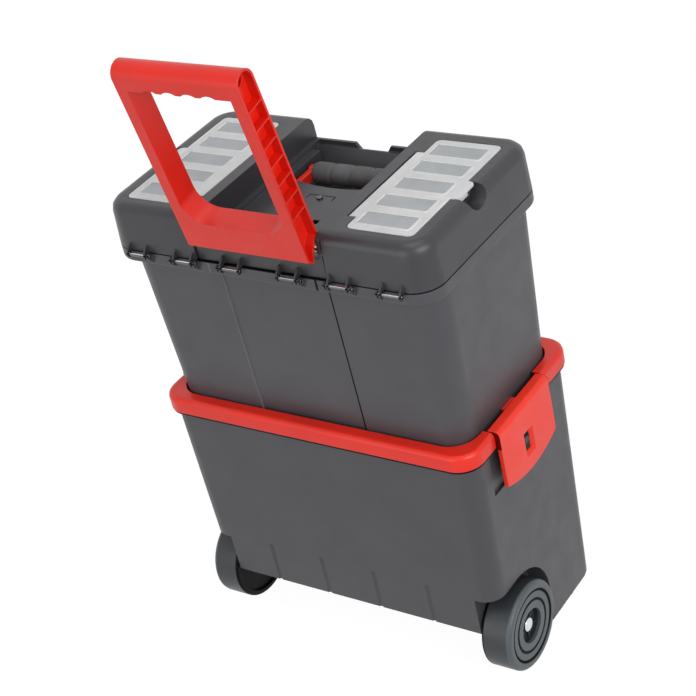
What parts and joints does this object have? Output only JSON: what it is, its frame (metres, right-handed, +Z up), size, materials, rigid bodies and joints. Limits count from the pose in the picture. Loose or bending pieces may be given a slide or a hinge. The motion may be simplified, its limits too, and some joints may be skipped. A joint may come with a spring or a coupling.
{
  "type": "wheeled storage box",
  "caption": "Tall wheeled storage box: a lidded tool box nested in a rolling bin, with side latches, a folding pull handle, a carry handle and covered small-parts trays in the lid.",
  "frame": {"origin": "on the floor, in the middle of the width, under the middle of the lid's depth", "axes": "+Z up, -Y to the front (the latch side), +Y to the rear (the hinge and wheel side), +X to the left wheel"},
  "size_m": [0.446, 0.3119, 0.8205],
  "materials": {
    "body_plastic": "fine grain",
    "red_plastic": "satin",
    "wheel_plastic": "satin",
    "frosted_plastic": "frosted, translucent",
    "tray_plastic": "satin",
    "grip_rubber": "matte",
    "steel": "zinc plated"
  },
  "bodies": {
    "bin": {"bin_shell": "body_plastic", "rim_collar": "red_plastic", "axle": "steel", "axle_cap_left": "steel", "axle_cap_right": "steel", "side_latch_pin_left": "steel", "side_latch_pin_right": "steel"},
    "wheel_left": {"wheel_left": "wheel_plastic"},
    "wheel_right": {"wheel_right": "wheel_plastic"},
    "side_latch_left": {"side_latch_left": "red_plastic"},
    "side_latch_right": {"side_latch_right": "red_plastic"},
    "tool_box": {"tool_box_shell": "body_plastic", "hinge_pin_left": "steel", "hinge_pin_left_inner": "steel", "hinge_pin_left_outer": "steel", "hinge_pin_right": "steel", "hinge_pin_right_inner": "steel", "hinge_pin_right_outer": "steel"},
    "lid": {"lid_shell": "body_plastic", "organizer_tray_left": "tray_plastic", "organizer_tray_right": "tray_plastic", "pull_handle_pin": "steel", "carry_handle_pin_left": "steel", "carry_handle_pin_right": "steel", "deck_screw": "steel", "front_latch_pin": "steel"},
    "cover_left": {"cover_left": "frosted_plastic"},
    "cover_right": {"cover_right": "frosted_plastic"},
    "pull_handle": {"pull_handle": "red_plastic"},
    "carry_handle": {"carry_handle_frame": "red_plastic", "carry_handle_grip": "grip_rubber"},
    "front_latch": {"front_latch": "red_plastic"}
  },
  "joints": [
    {"name": "wheel_left_spin", "type": "hinge", "parent": "bin", "child": "wheel_left", "pos_m": [0.1985, 0.0573, 0.0555], "axis": [1, 0, 0], "continuous": true},
    {"name": "wheel_right_spin", "type": "hinge", "parent": "bin", "child": "wheel_right", "pos_m": [-0.1985, 0.0573, 0.0555], "axis": [1, 0, 0], "continuous": true},
    {"name": "side_latch_left_open", "type": "hinge", "parent": "bin", "child": "side_latch_left", "pos_m": [0.211, 0.003, 0.3365], "axis": [0, -1, 0], "range_deg": [0, 90]},
    {"name": "side_latch_right_open", "type": "hinge", "parent": "bin", "child": "side_latch_right", "pos_m": [-0.211, 0.003, 0.3365], "axis": [0, 1, 0], "range_deg": [0, 90]},
    {"name": "tool_box_lift", "type": "slide", "parent": "bin", "child": "tool_box", "axis": [0, 0, 1], "range_m": [0, 0.1]},
    {"name": "lid_open", "type": "hinge", "parent": "tool_box", "child": "lid", "pos_m": [0, 0.1285, 0.554], "axis": [-1, 0, 0], "range_deg": [0, 100]},
    {"name": "cover_left_open", "type": "hinge", "parent": "lid", "child": "cover_left", "pos_m": [0.1, 0.0065, 0.608], "axis": [0, -1, 0], "range_deg": [0, 95]},
    {"name": "cover_right_open", "type": "hinge", "parent": "lid", "child": "cover_right", "pos_m": [-0.1, 0.0065, 0.608], "axis": [0, 1, 0], "range_deg": [0, 95]},
    {"name": "pull_handle_fold", "type": "hinge", "parent": "lid", "child": "pull_handle", "pos_m": [0, 0.114, 0.5882], "axis": [1, 0, 0], "range_deg": [0, 101]},
    {"name": "carry_handle_raise", "type": "hinge", "parent": "lid", "child": "carry_handle", "pos_m": [0, 0.004, 0.564], "axis": [-1, 0, 0], "range_deg": [0, 90]},
    {"name": "front_latch_open", "type": "hinge", "parent": "lid", "child": "front_latch", "pos_m": [0, -0.1286, 0.561], "axis": [-1, 0, 0], "range_deg": [0, 100]}
  ]
}
